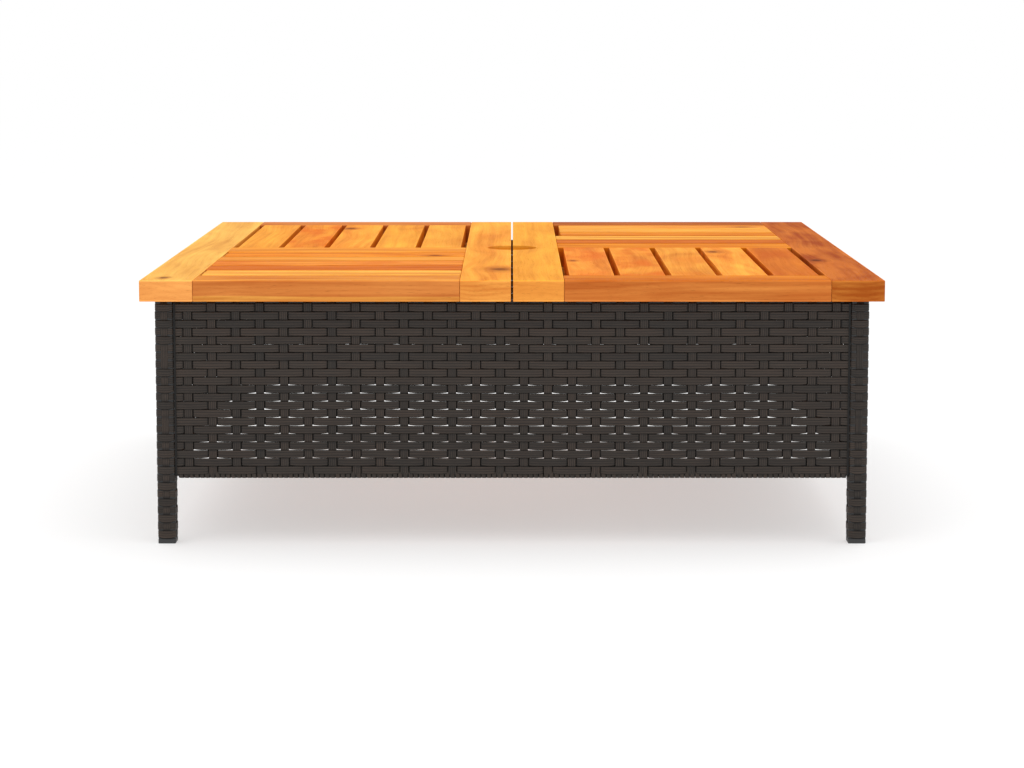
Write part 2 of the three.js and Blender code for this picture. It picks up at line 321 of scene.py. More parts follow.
def makePaintedLightAndSapGroup():
    # Painted light and shade on a board, and its sapwood. Sides that face other boards get painted shade:
    # that mask grows from the top edge down, and leaves out the rim of the table, furthest from its middle
    # along X or Y.
    # The rim takes its own tint, partly painted light and shade and partly the board's tone, with a pale
    # band of sapwood along its foot. Edges get a painted highlight, most at the rim.
    tree, n, given, out = newGroup(
        "boardWear",
        {
            "Place": ("NodeSocketVector", (0, 0, 0)),
            "Across": ("NodeSocketFloat", 0.0),  # from the board's middle line
            "Half Width": ("NodeSocketFloat", 0.03),
            "Top": ("NodeSocketFloat", 0.38),
            "Bottom": ("NodeSocketFloat", 0.35),
            "Rim": ("NodeSocketFloat", 0.525),
            "Edge": ("NodeSocketFloat", 0.0022),
            "Color": ("NodeSocketColor", (1, 1, 1, 1)),
            "Stain": ("NodeSocketColor", (0.95, 0.78, 0.5, 1)),
            "Edge Highlight": ("NodeSocketColor", (1.3, 1.35, 1.4, 1)),
            "Side": ("NodeSocketColor", (1, 1, 1, 1)),
            "Sap": ("NodeSocketFloat", 0.0),
        },
        {"Color": "NodeSocketColor"},
    )
    x, y, z = n.separate(given["Place"])
    drop = n.math("SUBTRACT", given["Top"], z)
    rise = n.math("SUBTRACT", z, given["Bottom"])
    reach = n.math("MAXIMUM", n.math("ABSOLUTE", x), n.math("ABSOLUTE", y))
    inset = n.math("SUBTRACT", given["Rim"], reach)
    inside = n.math("GREATER_THAN", inset, 0.0015)
    # painted shade on the sides between boards, growing down from the top edge
    gapShade = n.math("MULTIPLY", n.remap(drop, 0.0008, 0.005, smooth=True), inside)
    color = n.mix(gapShade, given["Color"], n.tinted(given["Color"], given["Stain"]))
    onRim = n.math("LESS_THAN", inset, 0.0011)
    onRim = n.math("MULTIPLY", n.remap(drop, 0.0005, 0.0012, smooth=True), onRim)
    # the rim's tint: partly painted light and shade on the front faces, partly the board's own tone
    color = n.mix(onRim, color, n.tinted(color, given["Side"]))
    wavy = n.noise(given["Place"], (4, 4, 0), 2.0)
    foot = n.math("ADD", rise, n.math("MULTIPLY", n.math("SUBTRACT", wavy, 0.5), 0.006))
    sap = n.remap(foot, 0.0058, 0.0082, 1.0, 0.0, smooth=True)
    sap = n.math("MULTIPLY", sap, n.math("MULTIPLY", onRim, given["Sap"]))
    color = n.mix(sap, color, n.tinted(color, (1.25, 1.7, 1.5, 1)))
    # painted highlight along the board's edges, strongest at the rim
    level = n.math("MINIMUM", drop, rise)
    atRim = n.math("DIVIDE", n.math("ADD", level, inset), given["Edge"])
    fromSide = n.math("SUBTRACT", given["Half Width"], n.math("ABSOLUTE", given["Across"]))
    atSide = n.math("DIVIDE", n.math("ADD", level, fromSide), given["Edge"])
    highlightRim = n.remap(atRim, 0.5, 1.3, 0.8, 0.0, smooth=True)
    highlightSide = n.remap(atSide, 0.3, 0.8, 0.6, 0.0, smooth=True)
    edgeHighlight = n.math("MAXIMUM", highlightRim, highlightSide)
    link(n, n.mix(edgeHighlight, color, n.tinted(color, given["Edge Highlight"])), out["Color"])
    return tree


woodFigure = makeWoodGroup()
boardWear = makePaintedLightAndSapGroup()


def woodMaterial(name, center, halfLength, halfWidth, alongY, look):
    # wood for one board: the figure is centred on the board and runs along X or Y
    material, n, shader = newMaterial(name)
    place = n.add("ShaderNodeTexCoord").outputs["Object"]
    x, y, z = center
    turn = (0, 0, -math.pi / 2) if alongY else (0, 0, 0)
    shift = (-y, x, -z) if alongY else (-x, -y, -z)
    grain = n.add("ShaderNodeMapping", {"Vector": place, "Rotation": turn, "Location": shift})
    figure = n.add("ShaderNodeGroup", node_tree=woodFigure)
    link(n, grain.outputs["Vector"], figure.inputs["Grain"])
    figure.inputs["Tone"].default_value = linear(look["tone"])
    for label in ("Seed", "Streaks", "Rings", "Clouds", "Blush"):
        figure.inputs[label].default_value = look[label.lower()]
    knotAlong, knotAcross, knotSize = look.get("knot", (9, 0, 0.012))  # far off the board if none is given
    figure.inputs["Knot"].default_value = (knotAlong, knotAcross, cadHigh.z - z)
    figure.inputs["Knot Size"].default_value = knotSize
    figure.inputs["Half Length"].default_value = halfLength
    paintedLightAndSap = n.add("ShaderNodeGroup", node_tree=boardWear)
    link(n, place, paintedLightAndSap.inputs["Place"])
    link(n, n.separate(grain.outputs["Vector"])[1], paintedLightAndSap.inputs["Across"])
    paintedLightAndSap.inputs["Half Width"].default_value = halfWidth
    paintedLightAndSap.inputs["Side"].default_value = (*look.get("side", (1, 1, 1)), 1)
    paintedLightAndSap.inputs["Sap"].default_value = look.get("sap", 0.0)
    link(n, figure.outputs["Color"], paintedLightAndSap.inputs["Color"])
    paintedLightAndSap.inputs["Top"].default_value = cadHigh.z
    paintedLightAndSap.inputs["Bottom"].default_value = 2 * z - cadHigh.z
    paintedLightAndSap.inputs["Rim"].default_value = cadHigh.x
    link(n, paintedLightAndSap.outputs["Color"], shader.inputs["Base Color"])
    link(n, figure.outputs["Roughness"], shader.inputs["Roughness"])
    addRelief(n, figure.outputs["Height"], shader, 0.3, 0.0003)
    shader.inputs["Specular IOR Level"].default_value = 0.008
    return material


# Each board: its tone, its slot, and where it differs from plainWood. A knot is metres along and
# across from the middle of the board, and its size. Side is the rim's tint.
plainWood = {"streaks": 0.6, "rings": 0.08, "clouds": 0.4, "blush": 0.2}
# a board's side tint is partly painted light and shade on its front face, partly its own tone
topBoards = {
    "left_outer_rail": {
        "tone": "e8ab52", "slot": "wood_pale", "streaks": 0.4, "blush": 0,
        "knot": (-0.485, 0.008, 0.007), "side": (1.04, 0.79, 0.93),
    },
    "left_centre_rail": {
        "tone": "ee9f3c", "slot": "wood_pale", "rings": 0.14,
        "knot": (-0.36, -0.02, 0.016), "side": (1.03, 1.0, 1.47),
    },
    "left_front_board": {
        "tone": "d98b3a", "slot": "wood_russet", "streaks": 1.2,
        "side": (0.86, 0.71, 0.94), "sap": 1,
    },
    "left_back_board": {"tone": "c87638", "slot": "wood_amber"},
    "left_middle_board": {"tone": "e49336", "slot": "wood_pale", "streaks": 0.8},
    "left_long_slat_1": {"tone": "eaa345", "slot": "wood_amber", "streaks": 0.9},
    "left_long_slat_2": {"tone": "c46520", "slot": "wood_amber", "streaks": 0.9},
    "left_long_slat_3": {"tone": "d98030", "slot": "wood_amber", "streaks": 1.1, "blush": 0.5},
    "left_long_slat_4": {"tone": "de8f38", "slot": "wood_amber", "streaks": 0.9},
    "left_long_slat_5": {
        "tone": "de8328", "slot": "wood_amber", "streaks": 1.1,
        "knot": (0.141, -0.022, 0.008),
    },
    "left_short_slat_1": {"tone": "e79836", "slot": "wood_amber"},
    "left_short_slat_2": {"tone": "e38b2d", "slot": "wood_amber", "blush": 0.9, "clouds": 0.7},
    "left_short_slat_3": {"tone": "ea9534", "slot": "wood_amber", "knot": (0.15, 0.021, 0.01)},
    "left_short_slat_4": {"tone": "e59733", "slot": "wood_amber", "rings": 0.14},
    "left_short_slat_5": {"tone": "e79b38", "slot": "wood_amber"},
    "right_outer_rail": {
        "tone": "b55e20", "slot": "wood_russet", "streaks": 1.1, "rings": 0.2, "clouds": 1.7,
        "knot": (-0.22, 0.024, 0.01), "side": (1.15, 1.47, 1.8),
    },
    "right_centre_rail": {
        "tone": "eca037", "slot": "wood_pale", "streaks": 0.4, "rings": 0.05, "blush": 0,
        "side": (0.98, 0.85, 1.32),
    },
    "right_front_board": {
        "tone": "cb7222", "slot": "wood_russet", "streaks": 0.8, "rings": 0.12,
        "side": (1.02, 1.1, 2.3),
    },
    "right_back_board": {"tone": "a85822", "slot": "wood_russet"},
    "right_middle_board": {"tone": "d47c20", "slot": "wood_russet"},
    "right_long_slat_1": {
        "tone": "ed9c40", "slot": "wood_amber", "streaks": 1.1,
        "knot": (0.14, 0, 0.009),
    },
    "right_long_slat_2": {"tone": "e59d40", "slot": "wood_amber", "streaks": 0.9},
    "right_long_slat_3": {"tone": "cb7320", "slot": "wood_amber", "streaks": 1.1},
    "right_long_slat_4": {"tone": "e19d40", "slot": "wood_amber", "streaks": 0.9},
    "right_long_slat_5": {"tone": "c16420", "slot": "wood_amber"},
    "right_short_slat_1": {"tone": "c96d20", "slot": "wood_amber", "blush": 0.4},
    "right_short_slat_2": {
        "tone": "f19c3b", "slot": "wood_amber", "rings": 0.2,
        "knot": (0.15, 0.018, 0.01),
    },
    "right_short_slat_3": {"tone": "e49537", "slot": "wood_amber", "rings": 0.18, "blush": 0.5},
    "right_short_slat_4": {"tone": "e08b31", "slot": "wood_amber", "blush": 0.9, "clouds": 0.7},
    "right_short_slat_5": {
        "tone": "e48b33", "slot": "wood_amber", "clouds": 0.7, "blush": 0.8,
        "knot": (0, 0.022, 0.006),
    },
}
for side in ("left", "right"):
    for place in ("middle", "end"):
        topBoards[f"{side}_batten_{place}"] = {"tone": "c98a4c", "slot": "wood_amber"}

boardShape = {
    "edge": 0.0011,  # how far the bevel cuts in
    "edgeSteps": 3,
    "slatCorner": 0.003,  # radius of a slat's corners seen from above
    "slatCornerSteps": 5,
    "holeRadius": 0.039,
    "holeSteps": 40,
}


def camel(name):
    first, *rest = name.split("_")
    return first + "".join(word.capitalize() for word in rest)


def addObject(name, mesh, body, slotName, *replaced):
    piece = bpy.data.objects.new(name, mesh)
    scene.collection.objects.link(piece)
    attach(piece, body)
    if replaced:
        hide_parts(*replaced)
    return piece


def solidMesh(name, vertices, faces, material):
    # a mesh shaded smooth, in one material
    mesh = bpy.data.meshes.new(name)
    mesh.from_pydata(vertices.tolist(), [], faces)
    mesh.polygons.foreach_set("use_smooth", np.ones(len(mesh.polygons), bool))
    mesh.materials.append(material)
    return mesh


def slatOutline(low, high, radius, steps):
    # a rectangle with round corners: each corner's arc starts a quarter turn after the one before
    quarters = np.repeat(np.arange(-1, 3), steps) * math.pi / 2
    turns = np.tile(np.linspace(0, math.pi / 2, steps), 4) + quarters
    left, right, front, back = low.x + radius, high.x - radius, low.y + radius, high.y - radius
    centres = [(right, front), (right, back), (left, back), (left, front)]
    return np.repeat(centres, steps, 0) + radius * np.stack([np.cos(turns), np.sin(turns)], 1)


def boardOutline(node, low, high):
    # a board seen from above, anticlockwise; a centre rail's inner edge has half of the pole hole cut in it
    if "slat" in node:
        return slatOutline(low, high, boardShape["slatCorner"], boardShape["slatCornerSteps"])
    corners = np.array([(low.x, low.y), (high.x, low.y), (high.x, high.y), (low.x, high.y)])
    if "centre_rail" not in node:
        return corners
    onLeft = high.x < 0
    innerEdge = high.x if onLeft else low.x
    radius = boardShape["holeRadius"]
    spread = math.acos(abs(innerEdge) / radius)
    angles = (math.pi if onLeft else 0) + np.linspace(spread, -spread, boardShape["holeSteps"])
    arc = np.stack([radius * np.cos(angles), radius * np.sin(angles)], 1)
    split = 2 if onLeft else 4
    return np.concatenate([corners[:split], arc, corners[split:]])


def prismMesh(name, outline, low, high, material):
    # an outline carried straight up from one height to another, closed by its own shape at both ends
    count = len(outline)
    bottom = np.column_stack([outline, np.full(count, low)])
    top = np.column_stack([outline, np.full(count, high)])
    here = np.arange(count)
    after = (here + 1) % count
    walls = np.stack([here, after, after + count, here + count], 1).tolist()
    ends = [here[::-1].tolist(), (here + count).tolist()]
    return solidMesh(name, np.concatenate([bottom, top]), walls + ends, material)


def buildBoard(node, look, seed):
    low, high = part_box(node)
    alongY = high.y - low.y > high.x - low.x
    look = {**plainWood, "seed": 3.7 * seed, **look}
    width, length = sorted((high.x - low.x, high.y - low.y))
    wood = woodMaterial(camel(node), (low + high) / 2, length / 2, width / 2, alongY, look)
    mesh = prismMesh(camel(node), boardOutline(node, low, high), low.z, high.z, wood)
    body = "top_left" if node.startswith("left") else "top_right"
    board = addObject(camel(node), mesh, body, look["slot"], node)
    soften = board.modifiers.new("easedEdges", "BEVEL")
    soften.width, soften.segments = boardShape["edge"], boardShape["edgeSteps"]
    soften.limit_method, soften.angle_limit = "ANGLE", math.radians(40)
    board.modifiers.new("flatFaces", "WEIGHTED_NORMAL")


for seed, (node, look) in enumerate(topBoards.items()):
    buildBoard(node, look, seed)
print("boards built:", len(topBoards))


def strandSection(width, thickness, lands, groove, shoulder=0.2):
    # Outline of a flat strand as (across, out, hollow): a slightly crowned face of raised lands with a
    # groove between each two, and a flat back. Shoulder is the share of a land that slopes at the strand's
    # edges, over which the painted edge shade fades out. The crown falls with the fourth power of the way to
    # the edge. Hollow is 1 in the grooves, at the edges and behind, and marks where the colour is painted in
    # shade.
    landWidth = 2 / lands
    starts = -1 + landWidth * np.arange(lands)
    across = np.add.outer(starts, np.array([0.2, 0.8, 0.97]) * landWidth).ravel()
    across = np.concatenate([[-1], across[:-1], [1]])
    across[[1, -2]] = [-1 + shoulder * landWidth, 1 - shoulder * landWidth]
    hollow = np.concatenate([[1.0], np.tile([0.0, 0.0, 1.0], lands)[:-1], [1.0]])
    drop = groove * hollow
    drop[[0, -1]] = 0.3 * thickness
    face = thickness / 2 * (1 - 0.25 * across**4) - drop
    profile = np.stack([across * width / 2, face, hollow], 1)
    back = np.array([[0.85 * width / 2, -thickness / 2, 1], [-0.85 * width / 2, -thickness / 2, 1]])
    return np.concatenate([profile, back])


def sweepStrands(paths, acrossAxes, outAxes, widths, section, closed=False, hidden=0.0):
    # Carries one section along many paths at once. A vertex is the path's point, plus the across axis times
    # the section's across times the width factor, plus the out axis times the section's out. Arrays are
    # strands x steps x 3. Hidden, from 0 to 1, says where a strand runs in a crevice and gets painted shade.
    # Gives vertices, faces, caps and, for each vertex, its place on its strand, the strand's tint and its
    # painted shade.
    strands, steps = paths.shape[:2]
    sides = len(section)
    across = (section[:, 0] * widths[..., None])[..., None] * acrossAxes[:, :, None]
    out = section[:, 1][None, None, :, None] * outAxes[:, :, None]
    vertices = paths[:, :, None] + across + out
    stride = np.linalg.norm(np.diff(paths, axis=1), axis=2)
    length = np.concatenate([np.zeros((strands, 1)), np.cumsum(stride, 1)], 1)
    start = random.uniform(0, 5, (strands, 1))
    along = np.broadcast_to((length + start)[:, :, None], (strands, steps, sides))
    widthwise = np.broadcast_to(section[:, 0][None, None, :], (strands, steps, sides))
    index = np.arange(strands * steps * sides).reshape(strands, steps, sides)
    nextStep = np.roll(index, -1, 1) if closed else index[:, 1:]
    here = index if closed else index[:, :-1]
    quads = np.stack([here, nextStep, np.roll(nextStep, -1, 2), np.roll(here, -1, 2)], -1).reshape(-1, 4)
    caps = [] if closed else [*index[:, 0].tolist(), *index[:, -1, ::-1].tolist()]
    tint = np.broadcast_to(random.uniform(0, 1, (strands, 1, 1)), (strands, steps, sides))
    crevice = np.broadcast_to(hidden, (strands, steps))[:, :, None]
    shade = np.maximum(section[:, 2][None, None, :], crevice)
    place = np.stack([along, widthwise], -1).reshape(-1, 2)
    return vertices.reshape(-1, 3), quads, caps, place, np.stack([tint, shade], -1).reshape(-1, 2)


def strandMesh(name, parts, material):
    # one mesh of several swept bundles, with a UV map in metres and each vertex's tint and shade
    offset, vertices, faces, places, tones = 0, [], [], [], []
    for points, quads, caps, place, tone in parts:
        faces += (quads + offset).tolist() + [[i + offset for i in cap] for cap in caps]
        vertices.append(points)
        places.append(place)
        tones.append(tone)
        offset += len(points)
    mesh = solidMesh(name, np.concatenate(vertices), faces, material)
    corners = np.empty(len(mesh.loops), np.int32)
    mesh.loops.foreach_get("vertex_index", corners)
    uv = mesh.uv_layers.new(name="strand")
    uv.uv.foreach_set("vector", np.concatenate(places)[corners].astype(np.float32).ravel())
    for column, label in enumerate(("tint", "shade")):
        values = np.concatenate(tones)[:, column].astype(np.float32)
        mesh.attributes.new(label, "FLOAT", "POINT").data.foreach_set("value", values)
    return mesh


# deep is the colour that painted shade falls to, in grooves, at edges and in crevices
rattan = {"warm": "44372e", "cool": "3d352e", "deep": "050404", "lineSpacing": 0.0019}


def makeStrandGroup():
    # Extruded plastic strand: fine drawn lines across its width, long soft streaks, and a warm or cool tone
    # for each strand, which also drifts along it.
    tree, n, given, out = newGroup(
        "strandSurface",
        {
            "Place": ("NodeSocketVector", (0, 0, 0)),  # metres along and across the strand
            "Tint": ("NodeSocketFloat", 0.5),
            "Shade": ("NodeSocketFloat", 0.0),  # 1 in grooves, at edges and in crevices
            "Warm": ("NodeSocketColor", (0.1, 0.1, 0.1, 1)),
            "Cool": ("NodeSocketColor", (0.1, 0.1, 0.1, 1)),
            "Deep": ("NodeSocketColor", (0.02, 0.02, 0.02, 1)),
            "Line Spacing": ("NodeSocketFloat", 0.001),
        },
        {"Color": "NodeSocketColor", "Roughness": "NodeSocketFloat", "Height": "NodeSocketFloat"},
    )
    across = n.separate(given["Place"])[1]
    seed = n.math("MULTIPLY", given["Tint"], 40.0)
    streak = n.noise(given["Place"], (30, 2200, 0), 2.0, seed)
    patch = n.noise(given["Place"], (14, 40, 0), 2.0, seed)
    turns = n.math("DIVIDE", n.math("MULTIPLY", across, 2 * math.pi), given["Line Spacing"])
    line = n.remap(n.math("SINE", turns), -1.0, 1.0)
    drift = n.remap(patch, 0.3, 0.7, -0.2, 0.7)
    warmth = n.math("ADD", n.math("MULTIPLY", given["Tint"], 0.5), drift, clamp=True)
    tone = n.math("ADD", n.remap(streak, 0.3, 0.7, 0.0, 0.6), n.math("MULTIPLY", line, 0.15))
    tone = n.math("ADD", tone, n.math("ADD", n.math("MULTIPLY", given["Tint"], 0.28), 0.08), clamp=True)
    # painted shade: the tone falls towards Deep where Shade is 1
    tone = n.math("MULTIPLY", tone, n.math("SUBTRACT", 1.0, n.math("MULTIPLY", given["Shade"], 0.9)))
    face = n.mix(warmth, given["Cool"], given["Warm"])
    link(n, n.mix(tone, given["Deep"], face), out["Color"])
    link(n, n.remap(streak, 0.3, 0.7, 0.4, 0.58), out["Roughness"])
    link(n, n.math("ADD", n.math("MULTIPLY", line, 0.5), n.math("MULTIPLY", streak, 0.5)), out["Height"])
    return tree


def strandMaterial(look):
    material, n, shader = newMaterial("polyRattan")
    surface = n.add("ShaderNodeGroup", node_tree=makeStrandGroup())
    link(n, n.add("ShaderNodeUVMap", uv_map="strand").outputs["UV"], surface.inputs["Place"])
    for label in ("tint", "shade"):
        value = n.add("ShaderNodeAttribute", attribute_name=label).outputs["Fac"]
        link(n, value, surface.inputs[label.capitalize()])
    for label in ("Warm", "Cool", "Deep"):
        surface.inputs[label].default_value = linear(look[label.lower()])
    surface.inputs["Line Spacing"].default_value = look["lineSpacing"]
    link(n, surface.outputs["Color"], shader.inputs["Base Color"])
    link(n, surface.outputs["Roughness"], shader.inputs["Roughness"])
    addRelief(n, surface.outputs["Height"], shader, 0.6, 0.00012)
    shader.inputs["Specular IOR Level"].default_value = 0.3
    return material


polyRattan = strandMaterial(rattan)

weave = {
    "rows": 21,
    "rowPitch": 0.01166,
    "firstRow": 0.3394,  # height of the middle of the top row
    "stakes": 28,
    "stakePitch": 0.03407,
    "stepsPerRow": 3,
    "weaverWidth": 0.01156,  # where it lies in front
    "weaverThickness": 0.0011,
    "stakeWidth": 0.0118,
    "stakeThickness": 0.0012,
    "weaverSwing": 0.00105,  # in and out of the middle plane
    "stakeSwing": 0.0003,
    "dive": (0.175, 0.245),  # where a weaver passes from behind to the front, in pitches from the stake
    "crevice": (0.19, 0.25),  # and where it comes out of the shade
    "pinch": 0.00125,  # lost from the lower edge where a weaver goes behind a stake
    "pinchReach": (0.05, 0.48),  # in pitches from the stake
    "pinchSpread": 0.16,
    "tightRows": (6, 11),  # counted from the top: above them the weave is closer
    "tightPinch": 0.62,  # share of the pinch in those closer rows
    "widthSpread": 0.003,
    "heightSpread": 0.00005,
    "sag": 0.0003,
    "stakeBend": 0.0002,
    "sideGap": 0.0011,  # from a weaver's end to the side of the CAD panel
    "footGap": 0.004,  # from a stake's end to the foot of the CAD panel
    "edgeWidth": 0.0096,
    "edgeThickness": 0.0023,
    "edgeDepth": 0.00075,  # behind the middle plane
    "edgeReach": 0.00345,  # past the ends of the weavers, close to the leg
}
weaverSection = strandSection(weave["weaverWidth"], weave["weaverThickness"], 3, 0.00025, 0.32)
ringSection = strandSection(weave["weaverWidth"], weave["weaverThickness"], 3, 0.00025, 0.4)
stakeSection = strandSection(weave["stakeWidth"], weave["stakeThickness"], 4, 0.00042)
edgeSection = strandSection(weave["edgeWidth"], weave["edgeThickness"], 3, 0.0003)
# where a weaver's steps lie between two stakes, as shares of the pitch: close together where it dives
weaverSteps = np.array([0, 0.18, 0.21, 0.245, 0.5, 0.755, 0.79, 0.82])


def smooth(value, low, high):
    t = np.clip((value - low) / (high - low), 0, 1)
    return t * t * (3 - 2 * t)


def fixedAxes(direction, strands, steps):
    return np.broadcast_to(np.array(direction, float), (strands, steps, 3))


def panelStrands(halfWidth, low):
    # A plain weave in the plane of the panel: x across, y out of the panel towards -Y, z up, middle plane
    # at y 0. Row i runs in front of stake k when i + k is even. A weaver stays in front up to the edge of
    # the next stake and dives beside it. Its upper edge is straight, and its lower edge rises where it goes
    # behind.
    rows, stakes = weave["rows"], weave["stakes"]
    edge = halfWidth / weave["stakePitch"] + (stakes - 1) / 2
    phase = (np.arange(-1, stakes + 1)[:, None] + weaverSteps[None]).ravel()
    phase = np.unique(np.clip(phase, stakes - 1 - edge, edge))
    row = np.arange(rows)
    turns = (phase[None] + row[:, None]) % 2  # 0 in front of a stake, 1 behind one
    fromBehind = np.abs(turns - 1)
    front = 2 * smooth(fromBehind, *weave["dive"]) - 1
    # painted shade where the weaver runs behind a stake, up to where it comes out in front
    hidden = 1 - smooth(fromBehind, *weave["crevice"])
    crossing = np.rint(phase).astype(int) + 2
    amount = weave["pinch"] * (1 + random.normal(0, weave["pinchSpread"], (rows, stakes + 5)))[:, crossing]
    loose = smooth(row[:, None], *weave["tightRows"])
    amount = amount * (weave["tightPinch"] + (1 - weave["tightPinch"]) * loose)
    pinch = amount * (1 - smooth(fromBehind, *weave["pinchReach"]))
    widths = 1 - pinch / weave["weaverWidth"] + random.normal(0, weave["widthSpread"], (rows, 1))
    x = (phase - (stakes - 1) / 2) * weave["stakePitch"]
    error = random.normal(0, weave["heightSpread"], (rows, 1))
    sag = error + weave["sag"] * np.sin(9 * x[None] + random.uniform(0, 6))
    upperEdge = weave["firstRow"] + weave["weaverWidth"] / 2 - row[:, None] * weave["rowPitch"] + sag
    height = upperEdge - widths * weave["weaverWidth"] / 2
    paths = np.stack([np.broadcast_to(x, front.shape), -front * weave["weaverSwing"], height], -1)
    up, out = fixedAxes((0, 0, 1), *front.shape), fixedAxes((0, -1, 0), *front.shape)
    weavers = sweepStrands(paths, up, out, widths, weaverSection, hidden=hidden)

    # stakes: nearly straight, eased towards the side on which they show
    stakeSteps = (rows + 1) * weave["stepsPerRow"] + 1
    top = weave["firstRow"] + 0.75 * weave["rowPitch"]
    z = np.linspace(low, top, stakeSteps)
    k = np.arange(stakes)
    rowNumber = (weave["firstRow"] - z) / weave["rowPitch"]
    visible = -np.cos(math.pi * (rowNumber[None] + k[:, None]))
    stakeX = (k - (stakes - 1) / 2) * weave["stakePitch"]
    bend = weave["stakeBend"] * np.sin(z[None] * 22 + random.uniform(0, 6, (stakes, 1)))
    depth = -visible * weave["stakeSwing"]
    stakePaths = np.stack([stakeX[:, None] + bend, depth, np.broadcast_to(z, visible.shape)], -1)
    sideways, out = fixedAxes((1, 0, 0), *visible.shape), fixedAxes((0, -1, 0), *visible.shape)
    # painted shade where the stake runs behind the weavers
    hidden = 1 - smooth(visible, -0.35, 0.2)
    stakeRun = sweepStrands(stakePaths, sideways, out, np.ones(visible.shape), stakeSection, hidden=hidden)

    # one thick upright behind the ends of the weavers, on each side of the panel, all in painted shade
    # so that it shows as a dark line in the gap by the leg
    edgeX = np.array([-1, 1]) * (halfWidth + weave["edgeReach"] - weave["edgeWidth"] / 2)
    edgePaths = np.empty((2, stakeSteps, 3))
    edgePaths[..., 0], edgePaths[..., 1], edgePaths[..., 2] = edgeX[:, None], weave["edgeDepth"], z
    ones = np.ones((2, stakeSteps))
    edges = sweepStrands(edgePaths, sideways[:2], out[:2], ones, edgeSection, hidden=1.0)
    return [weavers, stakeRun, edges]


border = {
    "pitch": 0.0074,
    "width": 0.97,  # share of the pitch
    "thickness": 0.0012,
    "bend": 0.0028,  # radius of the lower corners
    "frontGap": 0.0014,  # between the strand and the rail's outer side
    "tuck": 0.0006,  # how far a loop's start leans in behind the lowest row
    "startHeight": 0.0095,  # of a loop's start and of its straight front, over its foot
    "frontHeight": 0.006,
    "backHeight": 0.009,  # of a loop's straight back and of its end, over the middle of the rail
    "endHeight": 0.0115,
    "endInset": 0.003,  # from the rail's sides, where the end lies on top of it
    "lean": 0.4,  # share of the pitch that a loop moves along
    "sideGap": 0.002,  # from the first and last loop to the sides of the CAD panel
}


def borderStrands(halfWidth, low, middle, railDepths):
    # A strand wound round the bottom rail: loop after loop, each a rounded C that starts behind the lowest
    # row, turns under the rail and comes up behind it. Middle is the rail's height, and its depths are
    # counted out of the panel.
    inner, outer = railDepths
    skin, r = border["thickness"], border["bend"]
    loops = int(2 * halfWidth / border["pitch"])
    x = (np.arange(loops) - (loops - 1) / 2) * (2 * halfWidth / loops)
    turn = np.linspace(0, math.pi / 2, 4)
    base = low + skin / 2
    outside, inside = outer + skin / 2 + border["frontGap"], inner - skin / 2
    frontArc = np.stack([outside - r + r * np.cos(turn), base + r - r * np.sin(turn)], 1)
    backArc = np.stack([inside + r - r * np.sin(turn), base + r - r * np.cos(turn)], 1)
    start = [(outside - border["tuck"], base + border["startHeight"])]
    start.append((outside, base + border["frontHeight"]))
    over, inset = middle + border["endHeight"], border["endInset"]
    end = [(inside, middle + border["backHeight"]), (inside + inset, over), (outer - inset, over)]
    shape = np.concatenate([start, frontArc, backArc, end])
    tangent = np.gradient(shape, axis=0)
    tangent /= np.linalg.norm(tangent, axis=1)[:, None]
    steps = len(shape)
    paths = np.empty((loops, steps, 3))
    paths[..., 0] = x[:, None] + np.linspace(0, border["lean"], steps) * border["pitch"]
    paths[..., 1] = -shape[:, 0]
    paths[..., 2] = shape[:, 1]
    outAxis = np.stack([np.zeros(steps), tangent[:, 1], tangent[:, 0]], 1)
    outAxes = np.broadcast_to(outAxis, (loops, steps, 3))
    section = strandSection(border["pitch"] * border["width"], skin, 1, 0.0)
    acrossAxes = fixedAxes((1, 0, 0), loops, steps)
    return sweepStrands(paths, acrossAxes, outAxes, np.ones((loops, steps)), section)


def turned(parts, quarterTurns, out):
    # moves panel bundles out from the middle by a distance and turns them round the table by quarter turns
    turn = np.linalg.matrix_power(np.array([[0, -1, 0], [1, 0, 0], [0, 0, 1]]), quarterTurns)
    return [((points - [0, out, 0]) @ turn.T, *rest) for points, *rest in parts]


def buildPanel(side, quarterTurns):
    node = f"wicker_panel_{side}"
    low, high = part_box(node)
    axis = 1 if quarterTurns % 2 == 0 else 0
    middle = (abs(low[axis]) + abs(high[axis])) / 2
    halfWidth = (high[1 - axis] - low[1 - axis]) / 2
    railLow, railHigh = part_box(f"bottom_rail_{side}")
    depths = sorted((abs(railLow[axis]) - middle, abs(railHigh[axis]) - middle))
    woven = panelStrands(halfWidth - weave["sideGap"], low.z + weave["footGap"])
    wound = borderStrands(halfWidth - border["sideGap"], low.z, (railLow.z + railHigh.z) / 2, depths)
    parts = turned([*woven, wound], quarterTurns, middle)
    name = f"{side}PanelWeave"
    addObject(name, strandMesh(name, parts, polyRattan), "base", "poly_rattan", node)


for quarterTurns, side in enumerate(("front", "right", "back", "left")):
    buildPanel(side, quarterTurns)
print("panels woven")

legWrap = {
    "cornerRadius": 0.0027,
    "innerGap": 0.0011,  # the sleeve is this much thinner than its CAD solid on its inner sides
    "stepsPerSide": 9,
    "stepsPerCorner": 5,
    "cornerDepth": 0.0009,  # how far the rings are pulled in at the corners
    "overSwing": 0.0015,
    "underSwing": 0.0003,
    "ringWidth": 0.97,  # share of a weaver's width
    "ringPinch": 0.0015,
    "heightSpread": 0.00015,
    "widthSpread": 0.008,
    "stripWidth": 0.0098,
    "stripOut": 0.0003,  # in front of the rings' middle plane
    "stripSwing": 0.0003,
    "stripRise": 0.003,  # past the top of the CAD sleeve
    "longFloats": (6, 14),  # rows, counted from 0, that stay behind the strips of the outer faces
}


